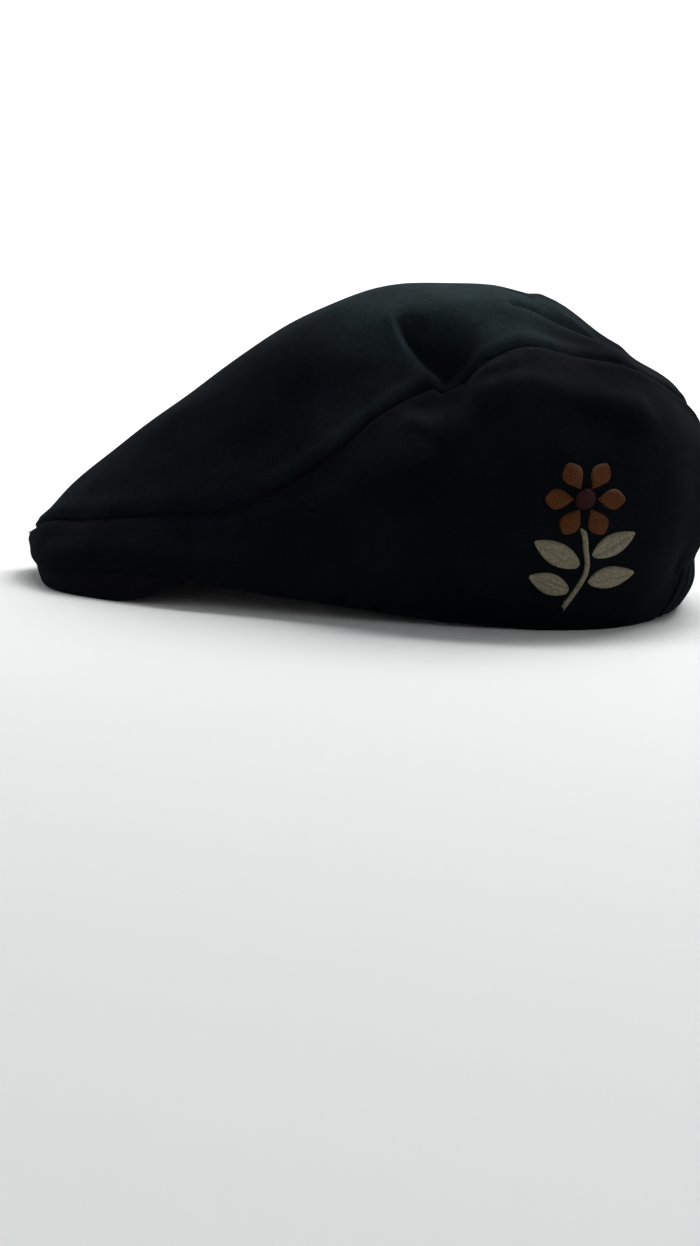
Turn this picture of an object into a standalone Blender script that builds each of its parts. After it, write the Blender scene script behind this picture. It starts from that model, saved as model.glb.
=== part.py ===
"""A soft cloth flat cap: one long top panel, two side panels, a drooping peak,
a gathered elastic band at the back and an embroidered sprig on the wearer's left.

Metres, +Z up, front towards -Y, wearer's left towards +X. The plane Z = 0 is the
surface that the cap rests on, under the lobes of its peak and the back of its hem.
"""
from collections import namedtuple
from math import radians

import bpy
import numpy as np

# Driving sizes
LENGTH = 0.278            # front nose to the fullest point of the back
CROWN_HEIGHT = 0.121      # resting plane to the top of the crest
RIM_WIDTH = 0.171         # outside of the hem across the temples
SEAM_SPREAD = 0.140       # between the two top seams where they are furthest apart
CLOTH = 0.0020            # wall of the crown
HEM_FOLD = 0.0030         # turned hem along the lower edge
SEAM_GAP = 0.0005         # clearance between pieces that are sewn together
SEAM_DEPTH = 0.0009       # how far the cloth dips into a seam
SIDE_FULLNESS = 0.40      # reach of the side panel's curve, as a share of its chord
TOP_FULLNESS = 0.40       # the same for the top panel
PEAK_THICKNESS = 0.0030   # peak board with its cloth
PEAK_MARGIN = 0.0060      # how far the peak shows beyond the side panel at its lobes
BAND_SPAN = 0.094         # gathered band, end to end across the back
BAND_HEIGHT = 0.0185      # gathered band, top to bottom
BAND_THICKNESS = 0.0036   # elastic inside its folded casing
BAND_PUFF = 0.0012        # how far the casing swells at half its height
BAND_GATHERS = 13         # ribs along the band
GATHER_DEPTH = 0.0009     # height of one rib
SPRIG_HEIGHT = 0.054      # embroidered sprig, highest leaf to stem end
SPRIG_RELIEF = 0.0012     # height of its stitching above the cloth
SPRIG_LIFT = 0.0003       # clearance between stitching and cloth

# Sections of the crown from the nose (first row) to the middle of the back (last row).
# y: share of LENGTH from the nose; z: share of CROWN_HEIGHT; edge_x: share of half of
# RIM_WIDTH; seam_x: share of half of SEAM_SPREAD; leans in degrees from upright, the
# edge's outwards and the others inwards.
Section = namedtuple("Section", "crest_y crest_z seam_x seam_y seam_z edge_x edge_y edge_z "
                                "edge_lean seam_lean top_lean")
SECTIONS = [
    Section(0.011, 0.150, 0.000, 0.011, 0.150, 0.000, 0.023, 0.052, 42, 32, 34),
    Section(0.072, 0.300, 0.370, 0.068, 0.205, 0.360, 0.054, 0.052, 38, 32, 38),
    Section(0.159, 0.468, 0.630, 0.151, 0.234, 0.585, 0.108, 0.066, 30, 26, 34),
    Section(0.259, 0.640, 0.830, 0.251, 0.266, 0.750, 0.213, 0.088, 22, 18, 26),
    Section(0.364, 0.817, 0.950, 0.362, 0.302, 0.868, 0.313, 0.084, 16, 12, 18),
    Section(0.461, 0.935, 1.000, 0.471, 0.446, 0.934, 0.435, 0.061, 18, 18, 24),
    Section(0.543, 0.986, 1.000, 0.562, 0.612, 0.982, 0.543, 0.041, 24, 32, 38),
    Section(0.618, 1.000, 0.980, 0.644, 0.725, 1.000, 0.634, 0.023, 32, 46, 50),
    Section(0.694, 0.989, 0.886, 0.720, 0.802, 0.988, 0.716, 0.012, 36, 58, 60),
    Section(0.760, 0.938, 0.757, 0.783, 0.785, 0.936, 0.787, 0.000, 38, 60, 62),
    Section(0.824, 0.838, 0.640, 0.849, 0.762, 0.830, 0.849, 0.000, 36, 58, 60),
    Section(0.883, 0.764, 0.490, 0.896, 0.715, 0.667, 0.894, 0.005, 31, 52, 55),
    Section(0.937, 0.684, 0.290, 0.945, 0.645, 0.420, 0.939, 0.016, 25, 40, 44),
    Section(0.960, 0.579, 0.000, 0.960, 0.579, 0.000, 0.961, 0.020, 20, 32, 36),
]
LAST = len(SECTIONS) - 1

# Sections of the peak, at the same places along the cap as the first crown sections.
# margin: share of PEAK_MARGIN outside the crown's edge; drop: share of that edge's height
# which the lip hangs below it; inner edge: shares as for the crown's edge; thickness:
# share of PEAK_THICKNESS.
PeakSection = namedtuple("PeakSection", "margin drop inner_x inner_y inner_z thickness")
PEAK_SECTIONS = [
    PeakSection(-0.35, 0.40, 0.000, 0.226, 0.150, 0.90),
    PeakSection(-0.15, 0.66, 0.225, 0.233, 0.146, 1.00),
    PeakSection(0.35, 0.97, 0.435, 0.251, 0.134, 1.00),
    PeakSection(0.70, 0.98, 0.635, 0.282, 0.118, 0.95),
    PeakSection(0.05, 0.20, 0.800, 0.326, 0.092, 0.60),
]
PEAK_END = 3.86           # where the peak's corners end, counted in crown sections
PEAK_POINTS = 37          # round the peak, corner to corner
LIP_BULGE = 0.12          # how far the lip's face bulges, as a share of its height
LIP_TAPER = 0.40          # share of the thickness left where the lip hangs least
BOARD_ARCH = 0.15         # how far the board arches up behind the lip, as a share of its depth
BOARD_ROWS = ((0.38, 1.0), (0.70, 0.7), (1.0, 0.0))    # share of the depth, share of the arch
LINING_IN = 0.50          # setback of the underside below the seat, as a share of the thickness
LINING_ROWS = (0.45, 0.80)                             # from the lip's inside to that setback

# Folds of the soft crown. Each runs from (along0, across0) to (along1, across1): along
# counts the crown's sections, across is 0 at the left edge, 1 at the left seam, 2 at the
# crest, 3 at the right seam and 4 at the right edge. Half widths at both ends and the
# height are shares of CROWN_HEIGHT, and a valley's height is negative. A bow moves a fold's
# middle along the crown, and back0 and back1 are its half widths on the side towards the
# back, where these differ.
Fold = namedtuple("Fold", "along0 across0 along1 across1 width0 width1 height bow back0 back1",
                  defaults=(0.0, 0.0, 0.0))
FOLDS = [
    Fold(6.20, 1.46, 6.72, 1.04, 0.050, 0.056, -0.062, -0.08, 0.062, 0.090),
    Fold(6.72, 1.02, 6.85, 0.62, 0.060, 0.055, -0.012),
    Fold(5.80, 1.56, 6.30, 1.06, 0.040, 0.044, 0.010, -0.06),
    Fold(7.10, 1.45, 7.35, 1.02, 0.050, 0.044, 0.006),
    Fold(6.00, 0.86, 6.60, 0.78, 0.070, 0.060, 0.028),
    Fold(7.60, 0.82, 9.80, 0.76, 0.055, 0.065, 0.022),
    Fold(8.20, 1.84, 9.90, 1.66, 0.035, 0.042, -0.026),
    Fold(8.70, 2.05, 10.4, 1.90, 0.036, 0.046, 0.018),
    Fold(8.20, 1.30, 10.2, 1.22, 0.050, 0.045, 0.014),
    Fold(3.60, 0.60, 5.20, 0.50, 0.060, 0.070, -0.008),
    Fold(2.20, 1.50, 4.60, 1.36, 0.080, 0.110, -0.010),
    Fold(11.5, 0.22, 13.0, 0.27, 0.060, 0.070, -0.018),
    Fold(6.80, 2.55, 7.20, 2.98, 0.060, 0.080, -0.024),
    Fold(7.20, 2.98, 7.30, 3.40, 0.080, 0.060, -0.012),
    Fold(7.80, 3.24, 9.90, 3.28, 0.070, 0.070, 0.018),
    Fold(4.60, 3.30, 6.40, 3.20, 0.080, 0.080, 0.014),
    Fold(13.0, 3.73, 11.5, 3.78, 0.070, 0.060, -0.018),
]
FOLD_FADE = 0.20          # share of the side panel over which folds die out at the hem

# Where each panel's grid has its points
SEAM_POINTS = 34          # along the seams, from the first section to the band
DENT_PLACE = 6.45         # the crown section at which the seam's points are drawn closer
DENT_DRAW = 0.50          # how much closer there, as a share of their even spacing
DENT_REACH = 1.4          # how far to both sides, in crown sections
SIDE_SHARES = (0.0, 0.045, 0.12, 0.23, 0.34, 0.45, 0.56, 0.67, 0.78, 0.88, 0.95, 1.0)
TOP_SHARES = (0.0, 0.05, 0.13, 0.22, 0.32, 0.42, 0.52, 0.62, 0.72, 0.82, 0.91, 1.0)
TOP_END = 0.12            # the top panel's ends, counted in crown sections from the centre line
BAND_SLANT = 0.12         # half the run of the band's slanted ends, in crown sections
RIB_STEPS = 4             # points for each rib of the band
RIB_FLATNESS = 0.70       # below 1 the ribs are broad and the creases between them narrow
RIB_AT_HEM = 0.40         # share of a rib's height left at the band's top and bottom
BAND_ROWS = (0.0, 0.25, 0.75, 1.0)                     # shares of the band's height

# The embroidered sprig, on the left side panel. Its centre is a share of LENGTH from the
# nose and a share of CROWN_HEIGHT. All its lengths are shares of SPRIG_HEIGHT, measured
# from that centre: y towards the back, z up, angle in degrees from y.
SPRIG_Y = 0.809
SPRIG_Z = 0.300
SPRIG_NEAR = (9.0, 0.35)  # about the same place, along the crown's sections and across
STEM = ((-0.10, -0.50), (0.03, -0.28), (0.02, -0.10), (0.00, -0.005))
STEM_WIDTH = 0.030
STEM_POINTS = 10
FLOWER_Y = 0.00
FLOWER_Z = 0.190
PETALS = 6
PETAL_LENGTH = 0.175
PETAL_WIDTH = 0.125
FLOWER_HEART = 0.060
PETAL_GAP = 0.012         # between the heart and each petal
PETAL_SHAPE = 1.3         # above 1 a blade is widest towards its tip
LEAF_SHAPE = 0.9
BLADE_POINTS = 8          # along a leaf or petal, and round the heart's half
BLADE_FULLNESS = 0.80     # below 1 a blade's outline is rounder
BLADE_TIP = 0.06          # width of its ends, as a share of its width
STITCH_ROWS = (-1.0, -0.6, 0.0, 0.6, 1.0)              # shares of half a blade's width
STITCH_EDGE = 0.45        # share of the relief left at a blade's edges
STITCH_NARROW = 0.25      # below this share of the width a blade has no inner rows
Leaf = namedtuple("Leaf", "name y z angle length width")
LEAVES = [
    Leaf("leaf_low_front", -0.068, -0.388, 161, 0.27, 0.135),
    Leaf("leaf_low_back", 0.045, -0.335, 12, 0.30, 0.140),
    Leaf("leaf_mid_front", -0.010, -0.228, 152, 0.33, 0.145),
    Leaf("leaf_mid_back", 0.062, -0.165, 30, 0.30, 0.135),
]

# Colours, as linear red, green and blue
CLOTH_TOP = (0.0100, 0.0160, 0.0170)
CLOTH_SIDE = (0.0042, 0.0048, 0.0062)
CLOTH_PEAK = (0.0038, 0.0038, 0.0055)
CLOTH_BAND = (0.0038, 0.0044, 0.0060)
THREAD_CREAM = (0.18, 0.163, 0.112)
THREAD_RUST = (0.100, 0.027, 0.004)
THREAD_WINE = (0.030, 0.0062, 0.0055)


def material(name, colour, roughness):
    made = bpy.data.materials.new(name)
    made.use_nodes = True
    shader = made.node_tree.nodes["Principled BSDF"]
    shader.inputs["Base Color"].default_value = (*colour, 1.0)
    shader.inputs["Roughness"].default_value = roughness
    shader.inputs["Metallic"].default_value = 0.0
    return made


def through(rows, at, first, last):
    """Smooth curve through the rows, with the given rows before and after them."""
    padded = np.vstack([first, rows, last])
    at = np.clip(np.asarray(at, float), 0.0, len(rows) - 1.0)
    row = np.minimum(at.astype(int), len(rows) - 2)
    u = (at - row)[..., None]
    p0, p1, p2, p3 = (padded[row + k] for k in range(4))
    return 0.5 * (2 * p1 + (p2 - p0) * u + (2 * p0 - 5 * p1 + 4 * p2 - p3) * u ** 2
                  + (3 * p1 - p0 - 3 * p2 + p3) * u ** 3)


def unit(vectors):
    return vectors / np.maximum(np.linalg.norm(vectors, axis=-1, keepdims=True), 1e-12)


def smooth_step(value):
    value = np.clip(value, 0.0, 1.0)
    return value * value * (3.0 - 2.0 * value)


def mirrored(row, fields, across_fields):
    """A table's row as it is on the cap's other side."""
    return [-value if field in across_fields else value for field, value in zip(fields, row)]


def section_values(along):
    """The crown's columns at any place along it, mirrored past the nose and the back."""
    rows = np.array(SECTIONS, float)
    first = mirrored(SECTIONS[1], Section._fields, ("seam_x", "edge_x"))
    last = mirrored(SECTIONS[-2], Section._fields, ("seam_x", "edge_x"))
    return Section(*np.moveaxis(through(rows, along, first, last), -1, 0))


def edge_point(along):
    """The crown's lower edge on the left."""
    s = section_values(along)
    return np.stack([s.edge_x * RIM_WIDTH / 2, (s.edge_y - 0.5) * LENGTH,
                     s.edge_z * CROWN_HEIGHT], -1)


def outward(along):
    """Level direction out of the crown's lower edge on the left."""
    step = 1e-3
    along = np.asarray(along, float)
    run = edge_point(np.minimum(along + step, LAST)) - edge_point(np.maximum(along - step, 0.0))
    level = np.stack([run[..., 1], -run[..., 0], np.zeros(along.shape)], -1)
    level[..., 0] *= (along > 0.0) & (along < LAST)
    return unit(level)


def bezier(p0, p1, p2, p3, u):
    u = u[..., None]
    return ((1 - u) ** 3 * p0 + 3 * u * (1 - u) ** 2 * p1
            + 3 * u ** 2 * (1 - u) * p2 + u ** 3 * p3)


def tilted(direction, degrees):
    """Upright direction, tilted by an angle towards a level one."""
    angle = np.radians(degrees)[..., None]
    return direction * np.sin(angle) + np.array([0.0, 0.0, 1.0]) * np.cos(angle)


def crown_base(along, across):
    """The crown without folds: across is 0 edge, 1 seam, 2 crest, 3 seam, 4 edge."""
    along, across = np.broadcast_arrays(np.asarray(along, float), np.asarray(across, float))
    half = np.where(across > 2.0, 4.0 - across, across)
    s = section_values(along)
    out = outward(along)
    edge = edge_point(along)
    seam = np.stack([s.seam_x * SEAM_SPREAD / 2, (s.seam_y - 0.5) * LENGTH,
                     s.seam_z * CROWN_HEIGHT], -1)
    crest = np.stack([0.0 * s.crest_y, (s.crest_y - 0.5) * LENGTH, s.crest_z * CROWN_HEIGHT], -1)
    side_reach = SIDE_FULLNESS * np.linalg.norm(seam - edge, axis=-1, keepdims=True)
    side = bezier(edge, edge + side_reach * tilted(out, s.edge_lean),
                  seam - side_reach * tilted(-out, s.seam_lean), seam, np.clip(half, 0.0, 1.0))
    top_reach = TOP_FULLNESS * np.linalg.norm(crest - seam, axis=-1, keepdims=True)
    top = bezier(seam, seam + top_reach * tilted(-out, s.top_lean),
                 crest + top_reach * np.array([1.0, 0.0, 0.0]), crest,
                 np.clip(half - 1.0, 0.0, 1.0))
    point = np.where((half <= 1.0)[..., None], side, top)
    point[..., 0] *= np.where(across > 2.0, -1.0, 1.0)
    return point


def crown_normal(along, across):
    """Direction out of the unfolded crown."""
    step = 2e-2
    along, across = np.broadcast_arrays(np.asarray(along, float), np.asarray(across, float))
    run = (crown_base(np.minimum(along + step, LAST), across)
           - crown_base(np.maximum(along - step, 0.0), across))
    rise = (crown_base(along, np.minimum(across + step, 4.0))
            - crown_base(along, np.maximum(across - step, 0.0)))
    return unit(np.cross(run, rise))


def fold_height(across, points):
    """Height of the folds over points of the unfolded crown."""
    total = np.zeros(points.shape[:-1])
    steps = np.linspace(0.0, 1.0, 9)
    for fold in FOLDS:
        bowed = 4.0 * fold.bow * steps * (1.0 - steps)
        spine = crown_base(fold.along0 + (fold.along1 - fold.along0) * steps + bowed,
                           fold.across0 + (fold.across1 - fold.across0) * steps)
        away = points[..., None, :] - spine
        gaps = np.linalg.norm(away, axis=-1)
        step = gaps.argmin(axis=-1)
        share = steps[step]
        front = CROWN_HEIGHT * (fold.width0 + (fold.width1 - fold.width0) * share)
        back0, back1 = fold.back0 or fold.width0, fold.back1 or fold.width1
        back = CROWN_HEIGHT * (back0 + (back1 - back0) * share)
        behind = np.take_along_axis(away[..., 1], step[..., None], axis=-1)[..., 0]
        width = front + (back - front) * smooth_step(0.5 + behind / front)
        total += fold.height * np.exp(-(gaps.min(axis=-1) / width) ** 2)
    from_hem = np.minimum(across, 4.0 - across)
    return CROWN_HEIGHT * total * smooth_step(from_hem / FOLD_FADE)


def crown(along, across):
    """The crown's outer face with its folds, and the direction out of it."""
    point = crown_base(along, across)
    normal = crown_normal(along, across)
    return point + normal * fold_height(across, point)[..., None], normal


def shell(name, outer, inner, finish, strides=None):
    """Closed wall between two grids of points. A row's stride merges its columns, which
    thins the grid where a panel narrows to its end."""
    rows, columns = outer.shape[:2]
    strides = strides or [1] * rows
    points, numbers = [], {}

    def corner(row, column):
        stride = strides[row]
        kept = min(int(column / stride + 0.5) * stride, columns - 1)
        if (row, kept) not in numbers:
            numbers[row, kept] = len(points)
            points.append((outer[row, kept], inner[row, kept]))
        return numbers[row, kept]

    outside = []
    for row in range(rows - 1):
        for column in range(columns - 1):
            ring = [corner(row, column), corner(row + 1, column),
                    corner(row + 1, column + 1), corner(row, column + 1)]
            ring = [v for k, v in enumerate(ring) if v != ring[k - 1]]
            if len(ring) > 2:
                outside.append(ring)
    count = len(points)
    edges = {(ring[k - 1], ring[k]) for ring in outside for k in range(len(ring))}
    faces = outside + [[v + count for v in reversed(ring)] for ring in outside]
    faces += [[b, a, a + count, b + count] for a, b in sorted(edges) if (b, a) not in edges]
    mesh = bpy.data.meshes.new(name)
    mesh.from_pydata([tuple(p[0]) for p in points] + [tuple(p[1]) for p in points], [], faces)
    mesh.materials.append(finish)
    mesh.update()
    mesh.shade_smooth()
    mesh.set_sharp_from_angle(angle=radians(50))
    made = bpy.data.objects.new(name, mesh)
    bpy.context.scene.collection.objects.link(made)
    return made


def drawn_in(border, neighbour):
    """Shift that opens half of the seam clearance at a panel's border."""
    return SEAM_GAP / 2 * unit(neighbour - border)


def climb(along, height):
    """Share of the side panel's curve below a length measured up it from the hem."""
    shares = np.linspace(0.0, 1.0, 41)
    found = []
    for place in along:
        line = crown_base(np.full(shares.shape, place), shares)
        run = np.concatenate([[0.0], np.cumsum(np.linalg.norm(np.diff(line, axis=0), axis=1))])
        found.append(np.interp(height, run, shares))
    return np.array(found)


def band_end():
    """Place along the crown, counted in sections, where the gathered band begins."""
    places = np.linspace(LAST, LAST - 4.0, 400)
    return float(np.interp(BAND_SPAN / 2, edge_point(places)[:, 0], places))


def seam_places():
    """Places along the seams where both panels have a point, between their ends."""
    end = band_end()
    places = np.linspace(1.0, end - BAND_SLANT, SEAM_POINTS)
    away = DENT_PLACE - places
    closer = DENT_DRAW * away * np.exp(-(away / DENT_REACH) ** 2)
    return np.concatenate([[TOP_END, 0.3, 0.5, 0.75],
                           places + closer,
                           np.linspace(end + BAND_SLANT, LAST, 6)[:-1], [LAST - TOP_END]])


def side_panel(name, side, finish):
    """Side panel from the nose to the middle of the back, notched over the band."""
    end = band_end()
    along = np.concatenate([[0.0], seam_places(), [LAST]])
    ramp = np.clip((along - end + BAND_SLANT) / (2 * BAND_SLANT), 0.0, 1.0)
    lower = (ramp * climb(along, BAND_HEIGHT + SEAM_GAP))[:, None]
    up = lower + (1.0 - lower) * np.array(SIDE_SHARES)
    along = np.broadcast_to(along[:, None], up.shape)
    outer, normal = crown(along, up if side > 0 else 4.0 - up)
    into = -normal
    into[:, 0] = -outward(along[:, 0]) * (side, 1, 1)
    depth = np.full(up.shape, CLOTH)
    depth[:, :2] = HEM_FOLD
    inner = outer + into * depth[..., None]
    outer[:, -1] -= normal[:, -1] * SEAM_DEPTH
    shift = drawn_in(outer[:, -1], outer[:, -2])
    outer[:, -1] += shift
    inner[:, -1] += shift
    for grid in (outer, inner):
        grid[..., 0] = side * np.maximum(side * grid[..., 0], SEAM_GAP / 2)
        grid[(0, -1), :, 0] = side * SEAM_GAP / 2
        grid[..., 2] = np.maximum(grid[..., 2], 0.0)
    order = slice(None, None, side)
    return shell(name, outer[:, order], inner[:, order], finish)


def top_panel(finish):
    """One long panel over the crest, from the left seam to the right one."""
    along = seam_places()
    half = np.array(TOP_SHARES)
    across = np.concatenate([1.0 + half, 3.0 - half[-2::-1]])
    outer, normal = crown(along[:, None], across[None, :])
    inner = outer - normal * CLOTH
    outer[:, (0, -1)] -= normal[:, (0, -1)] * SEAM_DEPTH
    shift = np.zeros(outer.shape)
    for border, neighbour in ((0, 1), (-1, -2)):
        shift[:, border] += drawn_in(outer[:, border], outer[:, neighbour])
        shift[border] += drawn_in(outer[border], outer[neighbour])
    middle = len(half) - 1
    thinned = [middle, middle // 2 + 1, 4, 3, 2]
    strides = thinned + [1] * (len(along) - 2 * len(thinned)) + thinned[::-1]
    return shell("top_panel", outer + shift, inner + shift, finish, strides)


def peak(finish):
    """Stiff peak under the front of the crown, its sides curving down into two lobes."""
    along = np.linspace(-PEAK_END, PEAK_END, PEAK_POINTS)
    side, place = np.where(along < 0.0, -1.0, 1.0), np.abs(along)
    first = mirrored(PEAK_SECTIONS[1], PeakSection._fields, ("inner_x",))
    rows = np.array(PEAK_SECTIONS, float)
    p = PeakSection(*np.moveaxis(through(rows, place, first, rows[-1]), -1, 0))
    out = outward(place)
    edge = edge_point(place)
    lip = edge + out * (p.margin * PEAK_MARGIN)[:, None]
    lip[:, 2] = edge[:, 2] * (1.0 - p.drop)
    seat = edge - np.array([0.0, 0.0, SEAM_GAP])
    ledge = seat - out * HEM_FOLD
    inside = np.stack([p.inner_x * RIM_WIDTH / 2, (p.inner_y - 0.5) * LENGTH,
                       p.inner_z * CROWN_HEIGHT], -1)
    arch = BOARD_ARCH * np.linalg.norm(inside - ledge, axis=-1)[:, None] * np.array([0.0, 0.0, 1.0])
    face = 0.5 * (lip + seat) + out * LIP_BULGE * np.abs(lip - seat)[:, 2:]
    board = [ledge + depth * (inside - ledge) + rise * arch for depth, rise in BOARD_ROWS]
    top = np.stack([lip, face, seat, ledge] + board, axis=1)
    thick = (p.thickness * PEAK_THICKNESS)[:, None]
    hang = np.clip((seat - lip)[:, 2:] / (2.0 * thick), 0.0, 1.0)
    under = top - np.array([0.0, 0.0, 1.0]) * thick[:, None]
    under[:, 0] = lip - out * thick * (LIP_TAPER + (1.0 - LIP_TAPER) * hang)
    under[:, 3] -= LINING_IN * out * thick
    for row, share in enumerate(LINING_ROWS, 1):
        under[:, row] = (1.0 - share) * under[:, 0] + share * under[:, 3]
    for grid in (top, under):
        grid[..., 0] *= side[:, None]
        grid[..., 2] = np.maximum(grid[..., 2], 0.0)
    return shell("peak", top, under, finish)


def back_band(finish):
    """Elastic in a gathered casing, set into the notch at the back of the hem."""
    count = BAND_GATHERS * RIB_STEPS + 1
    share = np.linspace(-1.0, 1.0, count)
    height = np.array(BAND_ROWS)
    reach = LAST - band_end() - BAND_SLANT * (2.0 * height - 1.0)
    reach *= 1.0 - 2 * SEAM_GAP / (BAND_SPAN / 2)
    along = LAST - reach * np.abs(share)[:, None]
    top = np.stack([climb(along[:, k], BAND_HEIGHT) for k in range(len(height))], -1)
    across = top * height
    point, normal = crown(along, across)
    normal[..., 2] = 0.0
    side = -np.where(share < 0.0, -1.0, 1.0)[:, None]
    point[..., 0] *= side
    normal[..., 0] *= side
    normal = unit(normal)
    swell = np.sin(np.pi * height)
    rib = np.abs(np.sin(0.5 * np.pi * BAND_GATHERS * (share + 1.0)))[:, None] ** RIB_FLATNESS
    depth = GATHER_DEPTH * (RIB_AT_HEM + (1.0 - RIB_AT_HEM) * swell)
    relief = BAND_PUFF * swell + depth * (rib - 1.0)
    outer = point + normal * relief[..., None]
    inner = point - normal * (BAND_THICKNESS - BAND_PUFF)
    for grid in (outer, inner):
        grid[..., 2] = np.maximum(grid[..., 2], 0.0)
    return shell("back_band", outer, inner, finish)


def on_left_side(y, z):
    """Place of a point of the left side panel, found from how far back and up it is."""
    along = np.full(y.shape, SPRIG_NEAR[0])
    across = np.full(y.shape, SPRIG_NEAR[1])
    step = 1e-3
    for _ in range(12):
        here = crown_base(along, across)
        by_along = (crown_base(along + step, across) - here) / step
        by_across = (crown_base(along, across + step) - here) / step
        miss_y, miss_z = y - here[..., 1], z - here[..., 2]
        det = by_along[..., 1] * by_across[..., 2] - by_across[..., 1] * by_along[..., 2]
        along = along + (miss_y * by_across[..., 2] - miss_z * by_across[..., 1]) / det
        across = across + (miss_z * by_along[..., 1] - miss_y * by_along[..., 2]) / det
        along, across = np.clip(along, 1.0, LAST - 1.0), np.clip(across, step, 1.0 - step)
    return along, across


def stitched(name, spine, widths, finish):
    """Raised embroidery along a spine, given in shares of the sprig's height."""
    spine, widths = np.array(spine), np.array(widths)
    run = unit(np.gradient(spine, axis=0))
    across = np.stack([-run[:, 1], run[:, 0]], -1)
    shares = np.array(STITCH_ROWS)
    flat = spine[:, None] + across[:, None] * (widths / 2)[:, None, None] * shares[:, None]
    y = (SPRIG_Y - 0.5) * LENGTH + flat[..., 0] * SPRIG_HEIGHT
    z = SPRIG_Z * CROWN_HEIGHT + flat[..., 1] * SPRIG_HEIGHT
    point, normal = crown(*on_left_side(y, z))
    relief = STITCH_EDGE + (1.0 - STITCH_EDGE) * np.sqrt(1.0 - shares ** 2)
    crowned = SPRIG_LIFT + SPRIG_RELIEF * relief
    outer = point + normal * crowned[:, None]
    inner = point + normal * SPRIG_LIFT
    whole = len(STITCH_ROWS) - 1
    strides = [1 if width > STITCH_NARROW * widths.max() else whole for width in widths]
    return shell(name, outer, inner, finish, strides)


def blade(y, z, angle, length, width, shape):
    """Spine and widths of a leaf or petal that starts at a point of the sprig."""
    shares = np.linspace(0.0, 1.0, BLADE_POINTS)
    heading = np.array([np.cos(radians(angle)), np.sin(radians(angle))])
    spine = np.array([y, z]) + shares[:, None] * length * heading
    widths = width * np.sin(np.pi * shares ** shape) ** BLADE_FULLNESS
    widths[[0, -1]] = BLADE_TIP * width
    return spine, widths


def sprig(cream, rust, wine):
    """One flower on a bent stem with leaves on both sides."""
    bend = np.array(STEM)
    stem = through(bend, np.linspace(0, len(bend) - 1, STEM_POINTS), bend[0], bend[-1])
    stitched("sprig_stem", stem, [STEM_WIDTH] * len(stem), cream)
    for leaf in LEAVES:
        spine, widths = blade(*leaf[1:], LEAF_SHAPE)
        stitched(leaf.name, spine, widths, cream)
    start = FLOWER_HEART + PETAL_GAP
    for number in range(PETALS):
        angle = number * 360.0 / PETALS
        y = FLOWER_Y + start * np.cos(radians(angle))
        z = FLOWER_Z + start * np.sin(radians(angle))
        spine, widths = blade(y, z, angle, PETAL_LENGTH, PETAL_WIDTH, PETAL_SHAPE)
        stitched(f"petal_{number + 1}", spine, widths, rust)
    turn = np.linspace(-np.pi / 2, np.pi / 2, BLADE_POINTS + 1)
    heart = np.stack([np.full(turn.shape, FLOWER_Y), FLOWER_Z + FLOWER_HEART * np.sin(turn)], -1)
    widths = 2.0 * FLOWER_HEART * np.maximum(np.cos(turn), BLADE_TIP)
    stitched("flower_heart", heart, widths, wine)


for item in list(bpy.data.objects):
    bpy.data.objects.remove(item, do_unlink=True)
top_panel(material("top_cloth", CLOTH_TOP, 0.92))
side_cloth = material("side_cloth", CLOTH_SIDE, 0.94)
side_panel("side_panel_left", 1, side_cloth)
side_panel("side_panel_right", -1, side_cloth)
peak(material("peak_cloth", CLOTH_PEAK, 0.90))
back_band(material("band_cloth", CLOTH_BAND, 0.93))
sprig(material("cream_thread", THREAD_CREAM, 0.60), material("rust_thread", THREAD_RUST, 0.60),
      material("wine_thread", THREAD_WINE, 0.60))
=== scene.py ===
from collections import namedtuple
from math import pi, radians

import bmesh
import bpy
import numpy as np
from mathutils import Matrix


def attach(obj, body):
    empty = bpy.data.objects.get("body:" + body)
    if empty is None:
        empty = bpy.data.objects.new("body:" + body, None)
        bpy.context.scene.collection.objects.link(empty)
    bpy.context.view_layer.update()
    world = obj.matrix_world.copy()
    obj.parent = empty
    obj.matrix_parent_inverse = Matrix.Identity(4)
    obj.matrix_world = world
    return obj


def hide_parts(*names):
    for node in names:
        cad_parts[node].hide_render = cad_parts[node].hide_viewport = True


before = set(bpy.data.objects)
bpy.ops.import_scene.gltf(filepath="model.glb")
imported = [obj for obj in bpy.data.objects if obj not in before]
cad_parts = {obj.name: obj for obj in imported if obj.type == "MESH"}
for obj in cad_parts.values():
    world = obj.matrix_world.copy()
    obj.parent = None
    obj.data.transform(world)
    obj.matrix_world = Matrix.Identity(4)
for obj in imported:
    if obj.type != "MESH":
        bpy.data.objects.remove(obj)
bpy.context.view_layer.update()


# Floor, light and view. The cap lies on a pale seamless sweep and is seen from its left,
# slightly from above. One wide soft lamp stands high over its far side, towards its back,
# and another lights the sweep behind it.
VIEW_AZIMUTH = 97.0
VIEW_ELEVATION = 10.0
VIEW_ROLL = 1.79
VIEW_DISTANCE = 0.60
VIEW_TARGET = (0.0, -0.003, -0.0154)
VIEW_FOCAL = 1470.0 / 1246.0       # focal length as a share of the picture's height
VIEW_NEAREST = 0.01
SENSOR = 36.0
FLOOR_RADIUS = 1.3
SWEEP_RADIUS = 1.2
SWEEP_HEIGHT = 2.6
SWEEP_SIDES = 96
SWEEP_STEPS = 14
FLOOR_WHITE = (0.80, 0.80, 0.80, 1.0)
FLOOR_ROUGHNESS = 0.9
LAMP_SIZE = 1.0
TOP_LAMP_PLACE = (-0.80, 0.58, 1.45)
TOP_LAMP_AIM = (0.0, 0.0, 0.05)
TOP_LAMP_POWER = 25.0
SWEEP_LAMP_PLACE = (-0.6, 0.0, 1.7)
SWEEP_LAMP_AIM = (-2.3, -0.1, 0.5)
SWEEP_LAMP_POWER = 42.0
ROOM_COLOUR = (0.93, 0.97, 1.0, 1.0)
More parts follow.
